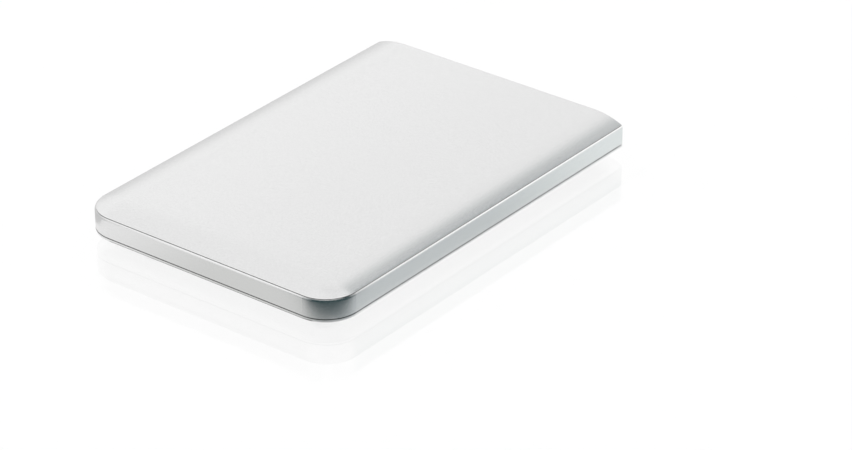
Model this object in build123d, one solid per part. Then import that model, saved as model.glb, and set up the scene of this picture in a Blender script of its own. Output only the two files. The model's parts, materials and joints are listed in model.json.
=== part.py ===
from build123d import *
from math import acos, asin, atan2, cos, degrees, pi, radians, sin, sqrt, tan
import os

# A slim portable hard drive: a metal casing in two halves round a 2.5-inch drive and its bridge board.
# Millimetres. +X is across, +Y runs from the rounded front to the port end, +Z is up.
# The origin is under the middle of the casing, on the surface that the feet stand on.

# The drive inside, which the casing is sized round
drive_width = 69.85
drive_length = 100.2
drive_height = 7.0
drive_corner_radius = 4.0
drive_edge_chamfer = 0.6

# Casing walls, and the room that they leave round the drive
wall = 1.2
roof_skin = 0.9
floor_skin = 0.9
pad_thickness = 0.6
side_room = 3.375
front_room = 3.4
rear_room = 10.0

# Casing form: rounded front corners, crowned roof and belly, one seam near the bottom
corner_radius = 9.0
crown_drop = 2.0
belly_drop = 2.0
edge_radius = 1.0
strip_edge_radius = 0.45
rear_edge_radius = 0.25
strip_height = 0.65
seam_height = 0.25
seam_depth = 0.75
cap_line_height = 0.11
cap_line_depth = 0.6
cap_line_lip = 0.18
lip_clearance = 0.1
lip_thickness = 0.8
lip_height = 1.3

# Catches that hold the front of the bottom cover
catch_width = 6.0
catch_height = 0.7
catch_reach = 0.5
catch_spacing = 36.0
catch_clearance = 0.1

# Feet, and the screws under the rear pair
foot_height = 0.65
foot_radius = 3.5
foot_sink = 0.3
foot_edge = 0.25
foot_clearance = 0.05
foot_edge_distance = 0.6
boss_radius = 2.1
boss_wall_distance = 3.2
boss_flat = 0.85
screw_radius = 0.7
screw_head_radius = 1.5
screw_head_height = 0.7
screw_depth = 3.0
board_screw_depth = 1.5
screw_clearance = 0.05
head_clearance = 0.2
drive_recess_radius = 0.55
drive_recess_depth = 0.35

# Fits shared by all pieces
fit = 0.03
running = 0.05
cushion_clearance = 0.05
cushion_edge_radius = 0.4
cushion_end_distance = 18.0
pad_width = 43.0
pad_corner_radius = 4.0

# Bridge board and what it carries
board_thickness = 0.8
board_boss_gap = 0.3
board_rear_distance = 0.4
lip_break_distance = 0.7
board_drop = 1.0
post_radius = 1.7
post_end_distance = 2.0
bridge_chip_size = 4.0
bridge_chip_height = 0.8
chip_chamfer = 0.1
flash_width = 2.4
flash_depth = 2.0
flash_height = 0.6
crystal_width = 2.5
crystal_depth = 2.0
crystal_height = 0.6
crystal_corner_radius = 0.3
lamp_width = 1.6
lamp_depth = 0.8
lamp_height = 0.6
lamp_x = 14.5
light_pipe_radius = 0.8
part_spacing = 1.0

# Data port, a slim two-part socket
port_width = 12.25
port_main_width = 6.9
port_side_width = 4.1
port_mouth_height = 1.85
port_neck_height = 1.1
port_chamfer = 0.5
port_sheet = 0.3
port_depth = 5.2
port_recess = 0.4
port_cutout_clearance = 0.15
tongue_thickness = 0.6
tongue_side_gap = 1.1
narrow_tongue_side_gap = 0.55
tongue_length = 3.4
port_contact_count = 5
port_contact_width = 0.25
port_contact_thickness = 0.1
port_contact_pitch = 0.5

# Plug on the drive and the socket that mates with it
plug_offset = -7.0
plug_depth = 4.6
plug_height = 2.85
plug_bar = 1.4
plug_tongue_thickness = 1.2
plug_tongue_rise = 1.4
plug_tongue_inset = 0.3
plug_contact_inset = 0.3
plug_guide = 0.6
signal_tongue = 10.4
power_tongue = 20.7
tongue_split = 2.3
signal_contacts = 7
power_contacts = 15
contact_pitch = 1.27
contact_width = 0.7
contact_thickness = 0.1
mating_clearance = 0.1
guide_clearance = 0.2
notch_clearance = 0.2
nose_clearance = 0.2
socket_wall = 0.6
socket_body_depth = 3.4
socket_contact_lift = 0.1
socket_contact_sheet = 0.12
socket_contact_inset = 0.2
socket_contact_foot = 0.7

# Drive base, cover and logic board
deck_height = 2.7
base_front_wall = 1.9
base_side_wall = 1.525
chamber_left_wall = 6.9
chamber_right_wall = 1.7
chamber_rear_wall = 0.6
chamber_corner_radius = 2.0
arm_zone_length = 40.6
cover_sheet = 0.5
cover_rise = 0.5
cover_inset = 0.5
plateau_inset = 0.3
seal_thickness = 0.2
seal_width = 0.6
seal_distance = 0.2
cover_screw_distance = 3.4
left_screw_distance = 4.0
right_screw_distance = 2.4
cover_screw_radius = 0.65
cover_screw_depth = 1.8
cover_screw_head_radius = 1.2
cover_screw_head_height = 0.4
recess_height = 1.95
recess_side = 7.4
recess_front_distance = 16.0
logic_board_lift = 0.4
logic_board_thickness = 0.8
logic_board_clearance = 0.3
logic_screw_distance = 2.8
logic_screw_rear_distance = 5.6
logic_screw_depth = 1.1
logic_post_radius = 1.4
chip_height = 0.7
controller_size = 9.0
memory_width = 8.0
memory_length = 10.0
memory_distance = 4.0
motor_driver_size = 6.0
mount_hole_radius = 1.25
mount_hole_depth = 2.4
mount_hole_side = 4.065
mount_hole_rear = 14.0
mount_hole_front = 9.6

# Spindle motor and disc
disc_room = 0.9
disc_thickness = 0.8
disc_bore_radius = 10.0
disc_seat_width = 1.3
skirt_wall = 1.1
rotor_magnet_thickness = 0.9
air_gap = 0.3
shaft_radius = 1.25
sleeve_radius = 4.0
sleeve_flange_width = 1.0
core_thickness = 0.8
core_ring_width = 1.6
core_shoe_depth = 0.6
tooth_count = 9
tooth_width = 1.0
tooth_shoe_width = 4.2
winding_build = 0.4
winding_gap = 0.05
pocket_floor = 0.85
pocket_room = 0.5
hub_web_drop = 0.25
clamp_thickness = 0.6
clamp_bore_radius = 0.9
clamp_hole_radius = 0.6
clamp_hole_count = 6
clamp_screw_radius = 0.7
clamp_screw_head_radius = 1.8
clamp_screw_head_height = 0.4
clamp_screw_depth = 2.0

# Head arm and voice-coil motor
pivot_margin = 8.0
reach_margin = 6.5
park_margin = 1.5
inner_track_margin = 2.7
arm_thickness = 0.6
head_room = 0.4
suspension_sheet = 0.12
slider_length = 1.2
slider_width = 0.9
slider_height = 0.2
arm_root_half = 4.2
arm_tip_half = 2.2
arm_window_half = 1.2
arm_window_hub_distance = 2.1
arm_window_tip_distance = 8.4
blade_length = 10.2
blade_overlap = 4.2
suspension_tip_half = 0.7
tab_half = 0.25
tab_length = 1.6
pivot_post_radius = 1.5
pivot_sleeve_wall = 1.35
pivot_flange_width = 1.5
pivot_gap = 0.1
arm_hub_wall = 2.0
coil_height = 1.2
coil_gap = 0.2
coil_half_angle = 17.0
coil_wire_width = 2.2
coil_corner_radius = 0.7
coil_inner_radius = 7.4
prong_angle = 5.0
prong_gap_angle = 0.4
yoke_sheet = 0.4
yoke_wall_distance = 1.4
yoke_inner_radius = 7.0
yoke_radius = 19.825
yoke_overlap_angle = 26.0
yoke_lid_gap = 0.2
yoke_post_radius = 0.8
yoke_post_distance = 1.1
coil_post_gap = 1.3
magnet_end_angle = 8.0
magnet_outer_margin = 3.8
magnet_inner_margin = 1.4
ramp_gap = 0.05
ramp_width = 4.0
ramp_post_width = 1.2
ramp_end_angle = 2.0
filter_width = 6.0
filter_depth = 3.0
filter_height = 2.4
bracket_width = 6.0
bracket_depth = 6.0
bracket_height = 1.6
inner_piece_distance = 1.0

# Casing size and levels, from the drive outwards
case_width = drive_width + 2 * (side_room + wall)
case_length = drive_length + front_room + rear_room + 2 * wall
case_thickness = drive_height + 2 * pad_thickness + roof_skin + floor_skin
front = -case_length / 2
rear = case_length / 2
underside = foot_height
roof = underside + case_thickness
wall_low = underside + belly_drop
seam_low = wall_low + strip_height
seam_high = seam_low + seam_height
inner_floor = underside + floor_skin
inner_roof = roof - roof_skin
inner_rear = rear - wall
rear_cut_start = inner_rear - wall
rear_cut_end = rear + wall
lip_top = seam_low + lip_height
corner_x = case_width / 2 - corner_radius
corner_y = front + corner_radius
cutter_room = case_width + case_length
crown_radius = (corner_radius**2 + crown_drop**2) / (2 * crown_drop)
belly_radius = (corner_radius**2 + belly_drop**2) / (2 * belly_drop)
crown_angle = asin(corner_radius / crown_radius)
crown_end = roof - crown_drop + edge_radius * tan((pi / 2 - crown_angle) / 2) * sin(crown_angle)
cap_line_high = crown_end - cap_line_lip
cap_line_low = cap_line_high - cap_line_height
inner_wall_high = inner_roof - crown_radius + sqrt(crown_radius**2 - (corner_radius - wall) ** 2)
cushion_low = lip_top + cushion_clearance
cushion_high = inner_wall_high - cushion_clearance

# Where the drive lies, and its levels
drive_low = inner_floor + pad_thickness
drive_top = drive_low + drive_height
drive_front = front + wall + front_room
drive_rear = drive_front + drive_length
drive_middle = (drive_front + drive_rear) / 2
drive_side = drive_width / 2
deck = drive_low + deck_height
lid_under = drive_top - cover_sheet
flange_top = lid_under - cover_rise + cover_sheet
flange_low = flange_top - cover_sheet
base_rim = flange_low - seal_thickness
recess_top = drive_low + recess_height
logic_low = drive_low + logic_board_lift
logic_top = logic_low + logic_board_thickness

# Disc, arm and coil levels, stacked round the middle of the sealed chamber
disc_middle = (deck + lid_under) / 2
disc_low = disc_middle - disc_thickness / 2
disc_high = disc_middle + disc_thickness / 2
lower_arm_high = disc_low - head_room
lower_arm_low = lower_arm_high - arm_thickness
upper_arm_low = disc_high + head_room
upper_arm_high = upper_arm_low + arm_thickness
coil_low = disc_middle - coil_height / 2
coil_high = disc_middle + coil_height / 2
lower_yoke_high = deck + yoke_sheet
upper_yoke_high = lid_under - yoke_lid_gap
upper_yoke_low = upper_yoke_high - yoke_sheet

# Chamber of the drive, with the voice-coil motor in its rear right corner
chamber_left = -drive_side + chamber_left_wall
chamber_right = drive_side - chamber_right_wall
yoke_rear_room = yoke_radius + yoke_lid_gap + plateau_inset + cover_sheet
spindle_x = 0.0
pivot_x = chamber_right - yoke_wall_distance - yoke_radius
pivot_side = pivot_x - spindle_x

# The disc is as large as the width leaves room for, and the length with the pivot and coil behind it
plug_back = drive_rear - plug_depth
notch_front = plug_back - mating_clearance
disc_front = drive_front + base_front_wall + disc_room
pivot_run = notch_front - chamber_rear_wall - yoke_rear_room - disc_front
radius_by_width = drive_side - base_side_wall - disc_room
radius_by_length = (pivot_run**2 - pivot_margin**2 + pivot_side**2) / (2 * (pivot_run + pivot_margin))
disc_radius = min(radius_by_width, radius_by_length)

# Spindle place and radii
spindle_y = disc_front + disc_radius
hub_radius = disc_bore_radius + disc_seat_width
skirt_inner = hub_radius - skirt_wall
magnet_outer = skirt_inner - fit
magnet_inner = magnet_outer - rotor_magnet_thickness
stator_radius = magnet_inner - air_gap
clamp_radius = hub_radius - running
pocket_low = drive_low + pocket_floor
hub_web_low = disc_low - hub_web_drop
core_middle = (pocket_low + hub_web_low) / 2
core_low = core_middle - core_thickness / 2
core_high = core_middle + core_thickness / 2

# Pivot place, and the arm's angles seen from the pivot
pivot_distance = disc_radius + pivot_margin
arm_reach = pivot_distance - reach_margin
arm_length = arm_reach - blade_length
pivot_y = spindle_y + sqrt(pivot_distance**2 - pivot_side**2)
pivot = (pivot_x, pivot_y)
chamber_rear = pivot_y + yoke_rear_room
chamber_front = chamber_rear - arm_zone_length


def swing_angle(reach, distance):
    """Angle at the pivot between the spindle and a point that far from the spindle."""
    return degrees(acos((pivot_distance**2 + reach**2 - distance**2) / (2 * pivot_distance * reach)))


spindle_angle = degrees(atan2(spindle_y - pivot_y, spindle_x - pivot_x))
park_angle = swing_angle(arm_reach, disc_radius + park_margin)
arm_angle = spindle_angle - park_angle
coil_angle = arm_angle + 180
arm_swing = park_angle - swing_angle(arm_reach, hub_radius + inner_track_margin)

# Voice-coil motor and pivot radii
yoke_start = coil_angle - yoke_overlap_angle
yoke_end = coil_angle + arm_swing + yoke_overlap_angle
coil_radius = yoke_radius - yoke_post_distance - yoke_post_radius - coil_post_gap
tab_reach = arm_reach + slider_length / 2 + tab_length
pivot_sleeve_radius = pivot_post_radius + running + pivot_sleeve_wall
arm_hub_radius = pivot_sleeve_radius + fit + arm_hub_wall
pivot_flange_radius = pivot_post_radius + pivot_flange_width
controller_x = pivot_x - pivot_flange_radius - controller_size / 2

# Feet and screw places
foot_x = corner_x - foot_radius - foot_edge_distance
boss_y = inner_rear - boss_wall_distance
front_foot_y = corner_y + foot_radius + foot_edge_distance
boss_low = underside + foot_sink + screw_head_height + head_clearance + boss_flat
head_top = boss_low - boss_flat
boss_pad_radius = boss_radius + screw_radius
left_right = (-1, 1)

# Plug, socket, board and port places
plug_x = plug_offset
plug_middle = logic_top + plug_tongue_rise
plug_half = (signal_tongue + power_tongue + tongue_split) / 2
nose_half = plug_half + mating_clearance + socket_wall
guide_half = nose_half + guide_clearance + plug_guide
tongue_low = plug_middle - plug_tongue_thickness / 2
tongue_high = plug_middle + plug_tongue_thickness / 2
socket_contact_low = tongue_high + contact_thickness + socket_contact_lift
socket_contact_high = socket_contact_low + socket_contact_sheet
socket_rear = drive_rear + mating_clearance + socket_body_depth
board_low = plug_middle - board_drop
board_high = board_low + board_thickness
board_front = socket_rear + mating_clearance
board_rear = inner_rear - board_rear_distance
board_half = foot_x - boss_pad_radius - board_boss_gap
post_y = (board_front + board_rear) / 2
port_face = rear - port_recess
port_back = port_face - port_depth
port_middle = board_high + port_sheet + port_mouth_height / 2
light_pipe_z = board_high + light_pipe_radius + running


def block(x0, x1, y0, y1, z0, z1):
    """Box between two corners."""
    return Pos((x0 + x1) / 2, (y0 + y1) / 2, (z0 + z1) / 2) * Box(x1 - x0, y1 - y0, z1 - z0)


def rod(x, y, z0, z1, radius):
    """Upright cylinder between two levels."""
    return Pos(x, y, (z0 + z1) / 2) * Cylinder(radius, z1 - z0)


def tube(x, y, z0, z1, outer, inner):
    """Upright ring between two levels."""
    return rod(x, y, z0, z1, outer) - rod(x, y, z0, z1, inner)


def plate(outline, z0, z1):
    """Flat plate of an outline, between two levels."""
    return extrude(Pos(0, 0, z0) * outline, z1 - z0)


def turned(x, y, points):
    """Piece turned about an upright axis, from the corners of its half section."""
    section = make_face(Polyline(*points, close=True))
    upright = Plane(origin=(x, y, 0), x_dir=(1, 0, 0), z_dir=(0, -1, 0))
    return revolve(upright * section, axis=Axis((x, y, 0), (0, 0, 1)), revolution_arc=360)


def sector(inner, outer, start, end):
    """Part of a ring about the pivot, between two angles."""
    rim = CenterArc(pivot, outer, start, end - start)
    root = CenterArc(pivot, inner, start, end - start)
    return make_face([rim, root, Line(rim @ 0, root @ 0), Line(rim @ 1, root @ 1)])


def along_arm(points):
    """Outline along the parked arm, from distances along it and half widths on both sides."""
    upper = [(along, half) for along, half in points]
    lower = [(along, -half) for along, half in reversed(points)]
    return Pos(*pivot) * Rot(0, 0, arm_angle) * make_face(Polyline(*upper, *lower, close=True))


def star_recess(x, y, z_face, up):
    """Six-sided driver recess cut into a screw head's face."""
    outline = Pos(x, y) * RegularPolygon(drive_recess_radius, 6)
    low = z_face - drive_recess_depth if up else z_face
    return plate(outline, low, low + drive_recess_depth)


def screw(x, y, head_low, head_high, tip, shank, head):
    """Plain-shanked screw whose head lies above or below its shank."""
    up = tip < head_low
    body = rod(x, y, head_low, head_high, head)
    body += rod(x, y, min(tip, head_low), max(tip, head_high), shank)
    return body - star_recess(x, y, head_high if up else head_low, up)


def plan_outline(inset):
    """Casing seen from above, moved in all round: round corners in front, square ones at the rear."""
    low = front + inset
    high = rear - inset
    sheet = Pos(0, (low + high) / 2) * Rectangle(case_width - 2 * inset, high - low)
    return fillet(sheet.vertices().group_by(Axis.Y)[0], corner_radius - inset)


def rim_section(inset, roof_cut, floor_cut, rounded):
    """Section of the casing's rim, by distance from the corner's centre and by height."""
    out = corner_radius - inset
    high = roof - roof_cut
    low = underside + floor_cut
    high_edge = high - crown_radius + sqrt(crown_radius**2 - out**2)
    low_edge = low + belly_radius - sqrt(belly_radius**2 - out**2)
    crown = TangentArc((0, high), (out, high_edge), tangent=(1, 0))
    belly = TangentArc((0, low), (out, low_edge), tangent=(1, 0))
    side = Line((out, high_edge), (out, low_edge))
    section = make_face([crown, side, belly, Line((0, low), (0, high))])
    if rounded:
        section = fillet(section.vertices().group_by(Axis.X)[-1].sort_by(Axis.Y)[-1], edge_radius)
        section = fillet(section.vertices().group_by(Axis.X)[-1].sort_by(Axis.Y)[0], strip_edge_radius)
    return section


def casing_form(inset=0.0, roof_cut=0.0, floor_cut=0.0, rounded=False):
    """Crowned slab: a flat core, a rim along three sides and the same rim turned round two corners."""
    section = rim_section(inset, roof_cut, floor_cut, rounded)
    run = rear - inset - corner_y
    to_right = Plane(origin=(corner_x, corner_y, 0), x_dir=(1, 0, 0), z_dir=(0, -1, 0))
    to_left = Plane(origin=(-corner_x, corner_y, 0), x_dir=(-1, 0, 0), z_dir=(0, 1, 0))
    to_front = Plane(origin=(corner_x, corner_y, 0), x_dir=(0, -1, 0), z_dir=(-1, 0, 0))
    form = block(-corner_x, corner_x, corner_y, rear - inset, underside + floor_cut, roof - roof_cut)
    form += extrude(to_right * section, -run)
    form += extrude(to_left * section, run)
    form += extrude(to_front * section, 2 * corner_x)
    form += revolve(to_front * section, Axis((corner_x, corner_y, 0), (0, 0, 1)), 90)
    form += revolve(to_left * section, Axis((-corner_x, corner_y, 0), (0, 0, 1)), 90)
    return form


def casing_walls():
    """Both halves of the casing as one hollow body, before it is parted at the seam."""
    outer = casing_form(rounded=True)
    outer = fillet(outer.faces().sort_by(Axis.Y)[-1].edges(), rear_edge_radius)
    return outer - cap_line() - casing_form(wall, roof_skin, floor_skin)


def cap_line():
    """Fine slot under the rim of the crown, along the front and both sides and open at the rear."""
    kept = plan_outline(cap_line_depth)
    kept += Pos(0, rear) * Rectangle(case_width - 2 * cap_line_depth, 2 * rear)
    return plate(plan_outline(-cap_line_depth) - kept, cap_line_low, cap_line_high)


def catch(grow, reach):
    """Blocks on the front lip, or grown by a clearance, the pockets that they snap into."""
    face = front + wall + lip_clearance
    low = lip_top - catch_height - grow
    half = catch_width / 2 + grow
    pieces = Part()
    for side in left_right:
        x = side * catch_spacing / 2
        pieces += block(x - half, x + half, face - reach, face + fit, low, lip_top + grow)
    return pieces


def port_mouth(grow=0.0):
    """Opening of the data port seen from behind the casing, as a wide and a narrow part with a neck."""
    high = port_mouth_height
    main = Pos(-port_width / 2 + port_main_width / 2, 0) * Rectangle(port_main_width, high)
    main = chamfer(main.vertices().group_by(Axis.Y)[0], port_chamfer)
    side = Pos(port_width / 2 - port_side_width / 2, 0) * Rectangle(port_side_width, high)
    side = chamfer(side.vertices().group_by(Axis.Y)[0], port_chamfer)
    neck_y = (high - port_neck_height) / 2
    mouth = main + side + Pos(0, neck_y) * Rectangle(port_width / 2, port_neck_height)
    if grow > 0:
        mouth = offset(mouth, grow, kind=Kind.INTERSECTION)
    return mouth


def facing_rear(outline, y, z, depth):
    """Outline stood upright across the casing and carried towards the rear by a depth."""
    upright = Plane(origin=(0, y, z), x_dir=(1, 0, 0), z_dir=(0, -1, 0))
    return extrude(upright * outline, -depth)


def lengthwise_rod(x, z, y0, y1, radius):
    """Cylinder lying along the casing."""
    return facing_rear(Pos(x, 0) * Circle(radius), y0, z, y1 - y0)


def top_shell(walls):
    """Roof and walls down to the seam, with screw bosses, catch pockets, port and lamp openings."""
    shell = walls - block(-cutter_room, cutter_room, -cutter_room, cutter_room, -foot_height, seam_low)
    shell -= plate(plan_outline(-seam_depth) - plan_outline(seam_depth), seam_low, seam_high)
    for side in left_right:
        shell += rod(side * foot_x, boss_y, boss_low, inner_roof + roof_skin / 2, boss_radius)
    for side in left_right:
        hole_top = boss_low + screw_depth + head_clearance
        shell -= rod(side * foot_x, boss_y, boss_low, hole_top, screw_radius + screw_clearance)
    shell -= catch(catch_clearance, lip_clearance + catch_reach + catch_clearance)
    cutout = port_mouth(port_sheet + port_cutout_clearance)
    shell -= facing_rear(cutout, rear_cut_start, port_middle, rear_cut_end - rear_cut_start)
    pipe_hole = light_pipe_radius + fit
    return shell - lengthwise_rod(lamp_x, light_pipe_z, rear_cut_start, rear_cut_end, pipe_hole)


def bottom_cover(walls):
    """Floor and the strip under the seam, with the lip inside the seam, foot recesses and posts."""
    cover = walls & block(-cutter_room, cutter_room, -cutter_room, cutter_room, -foot_height, seam_low)
    lip_outer = wall + lip_clearance
    lip_inner = lip_outer + lip_thickness
    lip = plate(plan_outline(lip_outer) - plan_outline(lip_inner), seam_low - strip_height, lip_top)
    lip += plate(plan_outline(wall / 2) - plan_outline(lip_inner), seam_low - strip_height, seam_low)
    cover += lip - lip_break()
    cover += catch(0.0, lip_clearance + catch_reach)
    for side in left_right:
        cover += rod(side * foot_x, boss_y, inner_floor - floor_skin / 2, boss_low, boss_pad_radius)
    for x in board_post_places():
        cover += rod(x, post_y, inner_floor - floor_skin / 2, board_low, post_radius)
    for x in board_post_places():
        cover -= rod(x, post_y, inner_floor, board_low, screw_radius + screw_clearance)
    for x, y in foot_places().values():
        cover -= rod(x, y, 0, underside + foot_sink, foot_radius + foot_clearance)
    for side in left_right:
        x = side * foot_x
        cover -= rod(x, boss_y, underside, head_top, screw_head_radius + head_clearance)
        cover -= rod(x, boss_y, underside, boss_low, screw_radius + screw_clearance)
    return cover


def lip_break():
    """Stretch of the rear lip that is left out for the bridge board, the port and the light pipe."""
    half = board_half + lip_break_distance
    lip_reach = lip_clearance + lip_thickness + fit
    return block(-half, half, inner_rear - lip_reach, rear, seam_low, roof)


def foot_places():
    """Centres of the four feet by name."""
    return {
        "foot_front_left": (-foot_x, front_foot_y),
        "foot_front_right": (foot_x, front_foot_y),
        "foot_rear_left": (-foot_x, boss_y),
        "foot_rear_right": (foot_x, boss_y),
    }


def foot(x, y):
    """Rubber disc sunk into the underside, with a softened rim."""
    disc = rod(x, y, 0, foot_height + foot_sink, foot_radius)
    return fillet(disc.edges().group_by(Axis.Z)[0], foot_edge)


def cover_screws():
    """Pair of screws under the rear feet, from below into the bosses of the top shell."""
    low = head_top - screw_head_height
    pieces = Part()
    for side in left_right:
        tip = boss_low + screw_depth
        pieces += screw(side * foot_x, boss_y, low, head_top, tip, screw_radius, screw_head_radius)
    return pieces


def board_post_places():
    """Centres of the two posts under the ends of the bridge board."""
    return [side * (board_half - post_end_distance) for side in left_right]


def bridge_board():
    """Narrow board across the rear, with holes over its two posts."""
    board = block(-board_half, board_half, board_front, board_rear, board_low, board_high)
    for x in board_post_places():
        board -= rod(x, post_y, board_low, board_high, screw_radius + screw_clearance)
    return board


def board_screws():
    """Pair of screws that hold the bridge board down on its posts."""
    head_high = board_high + screw_head_height
    tip = board_low - board_screw_depth
    pieces = Part()
    for x in board_post_places():
        pieces += screw(x, post_y, board_high, head_high, tip, screw_radius, screw_head_radius)
    return pieces


def on_board(x, width, depth, height):
    """Small electronic part on the bridge board, against the rear of its free strip."""
    y1 = board_rear - part_spacing / 2
    return block(x - width / 2, x + width / 2, y1 - depth, y1, board_high, board_high + height)


def split_middle():
    """Middle of the stretch between the plug's two tongues, where no contact lands on the board."""
    (_, signal_right), (power_left, _) = tongue_spans()
    return (signal_right + power_left) / 2


def bridge_chip():
    """Flat square package with a softened top, behind the split between the plug's tongues."""
    chip = on_board(split_middle(), bridge_chip_size, bridge_chip_size, bridge_chip_height)
    return chamfer(chip.faces().sort_by(Axis.Z)[-1].edges(), chip_chamfer)


def bridge_flash():
    """Memory that holds the bridge's program, between the bridge chip and the port."""
    chip_right = split_middle() + bridge_chip_size / 2
    port_left = -port_width / 2 - port_sheet
    return on_board((chip_right + port_left) / 2, flash_width, flash_depth, flash_height)


def bridge_crystal():
    """Metal-lidded crystal to the right of the port."""
    x = port_width / 2 + port_sheet + part_spacing + crystal_width / 2
    can = on_board(x, crystal_width, crystal_depth, crystal_height)
    return fillet(can.edges().filter_by(Axis.Z), crystal_corner_radius)


def status_lamp():
    """Lamp on the board behind the light pipe."""
    y1 = inner_rear - wall
    half = lamp_width / 2
    return block(lamp_x - half, lamp_x + half, y1 - lamp_depth, y1, board_high, board_high + lamp_height)


def light_pipe():
    """Clear rod that carries the lamp's light through the rear wall."""
    return lengthwise_rod(lamp_x, light_pipe_z, inner_rear - wall + running, rear, light_pipe_radius)


def port_shell():
    """Folded metal tube of the data port, open to the rear and closed at its back."""
    tube_outer = facing_rear(port_mouth(port_sheet), port_back, port_middle, port_depth)
    return tube_outer - facing_rear(port_mouth(), port_back + port_sheet, port_middle, port_depth)


def tongue_places():
    """Centre and width of the two tongues in the data port."""
    main_x = -port_width / 2 + port_main_width / 2
    side_x = port_width / 2 - port_side_width / 2
    return (
        (main_x, port_main_width - 2 * tongue_side_gap),
        (side_x, port_side_width - 2 * narrow_tongue_side_gap),
    )


def port_tongue():
    """Insulator that fills the back of the port and carries its two tongues."""
    start = port_back + port_sheet
    base_depth = port_depth - port_sheet - tongue_length - port_recess
    mouth = offset(port_mouth(), -fit, kind=Kind.INTERSECTION)
    body = facing_rear(mouth, start, port_middle, base_depth)
    for x, width in tongue_places():
        tongue = Pos(x, 0) * Rectangle(width, tongue_thickness)
        body += facing_rear(tongue, start, port_middle, base_depth + tongue_length)
    return body


def port_contacts():
    """Contact strips on the upper faces of the two tongues."""
    end = port_face - port_recess - port_contact_width
    low = port_middle + tongue_thickness / 2
    high = low + port_contact_thickness
    start = port_face - port_recess - tongue_length
    pieces = Part()
    for x, _ in tongue_places():
        for index in range(port_contact_count):
            centre = x + (index - (port_contact_count - 1) / 2) * port_contact_pitch
            half = port_contact_width / 2
            pieces += block(centre - half, centre + half, start, end, low, high)
    return pieces


def tongue_spans():
    """Left and right ends of the plug's signal and power tongues."""
    signal_left = plug_x - plug_half
    power_right = plug_x + plug_half
    return ((signal_left, signal_left + signal_tongue), (power_right - power_tongue, power_right))


def contact_places():
    """Centre lines of the plug's contacts, evenly spaced on each tongue."""
    places = []
    for (left, right), count in zip(tongue_spans(), (signal_contacts, power_contacts)):
        middle = (left + right) / 2
        places += [middle + (index - (count - 1) / 2) * contact_pitch for index in range(count)]
    return places


def drive_plug():
    """Plug on the rear edge of the logic board: a bar, two tongues and a guide at each end."""
    top = logic_top + plug_height
    end = drive_rear - plug_tongue_inset
    bar_end = plug_back + plug_bar
    plug = block(plug_x - guide_half, plug_x + guide_half, plug_back, bar_end, logic_top, top)
    for left, right in tongue_spans():
        plug += block(left, right, plug_back, end, tongue_low, tongue_high)
    for side in left_right:
        inner = plug_x + side * (guide_half - plug_guide)
        outer = plug_x + side * guide_half
        plug += block(min(inner, outer), max(inner, outer), plug_back, end, logic_top, top)
    return plug


def drive_plug_contacts():
    """Contact strips on the upper faces of the plug's tongues."""
    start = plug_back + plug_bar
    end = drive_rear - plug_tongue_inset - plug_contact_inset
    half = contact_width / 2
    pieces = Part()
    for x in contact_places():
        pieces += block(x - half, x + half, start, end, tongue_high, tongue_high + contact_thickness)
    return pieces


def drive_socket():
    """Socket in front of the bridge board, whose nose goes over the tongues of the drive's plug."""
    low = logic_top + mating_clearance
    high = logic_top + plug_height - mating_clearance
    nose_front = plug_back + plug_bar + nose_clearance
    body_front = drive_rear + mating_clearance
    socket = block(plug_x - nose_half, plug_x + nose_half, nose_front, body_front, low, high)
    socket += block(plug_x - guide_half, plug_x + guide_half, body_front, socket_rear, low, high)
    slot_end = body_front + mating_clearance
    slot_low = tongue_low - mating_clearance
    slot_high = socket_contact_high + mating_clearance
    for left, right in tongue_spans():
        slot_left = left - mating_clearance
        slot_right = right + mating_clearance
        socket -= block(slot_left, slot_right, nose_front, slot_end, slot_low, slot_high)
    half = contact_width / 2 + fit
    channels = Part()
    for x in contact_places():
        low_z = socket_contact_low - fit
        high_z = socket_contact_high + fit
        channels += block(x - half, x + half, slot_end - fit, socket_rear, low_z, high_z)
    return socket - channels


def drive_socket_contacts():
    """Bent strips that reach from the socket's slots down to the bridge board."""
    sheet = socket_contact_sheet
    tip = plug_back + plug_bar + nose_clearance + socket_contact_inset
    bend = socket_rear + mating_clearance + sheet
    foot_end = bend + sheet + socket_contact_foot
    outline = make_face(
        Polyline(
            (tip, socket_contact_low),
            (bend, socket_contact_low),
            (bend, board_high),
            (foot_end, board_high),
            (foot_end, board_high + sheet),
            (bend + sheet, board_high + sheet),
            (bend + sheet, socket_contact_high),
            (tip, socket_contact_high),
            close=True,
        )
    )
    pieces = Part()
    for x in contact_places():
        side_on = Plane(origin=(x - contact_width / 2, 0, 0), x_dir=(0, 1, 0), z_dir=(1, 0, 0))
        pieces += extrude(side_on * outline, contact_width)
    return pieces


def side_cushion(side):
    """Rubber strip between the drive and a side wall, above the cover's lip."""
    inner = drive_side + cushion_clearance
    outer = case_width / 2 - wall - cushion_clearance
    y0 = drive_front + cushion_end_distance
    y1 = drive_rear - cushion_end_distance
    strip = block(inner, outer, y0, y1, cushion_low, cushion_high)
    strip = fillet(strip.edges().filter_by(Axis.Z), cushion_edge_radius)
    return strip if side > 0 else mirror(strip, Plane.YZ)


def front_cushion():
    """Rubber strip between the drive and the front wall."""
    y0 = front + wall + cushion_clearance
    y1 = drive_front - cushion_clearance
    half = catch_spacing / 2
    strip = block(-half, half, y0, y1, cushion_low, cushion_high)
    return fillet(strip.edges().filter_by(Axis.Z), cushion_edge_radius)


def soft_pad(y0, y1, z0, z1):
    """Thin foam pad with round corners."""
    outline = Pos(0, (y0 + y1) / 2) * RectangleRounded(pad_width, y1 - y0, pad_corner_radius)
    return plate(outline, z0, z1)


def upper_pad():
    """Foam between the drive's cover and the roof."""
    return soft_pad(spindle_y - pad_width / 2, pivot_y, drive_top, inner_roof)


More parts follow.
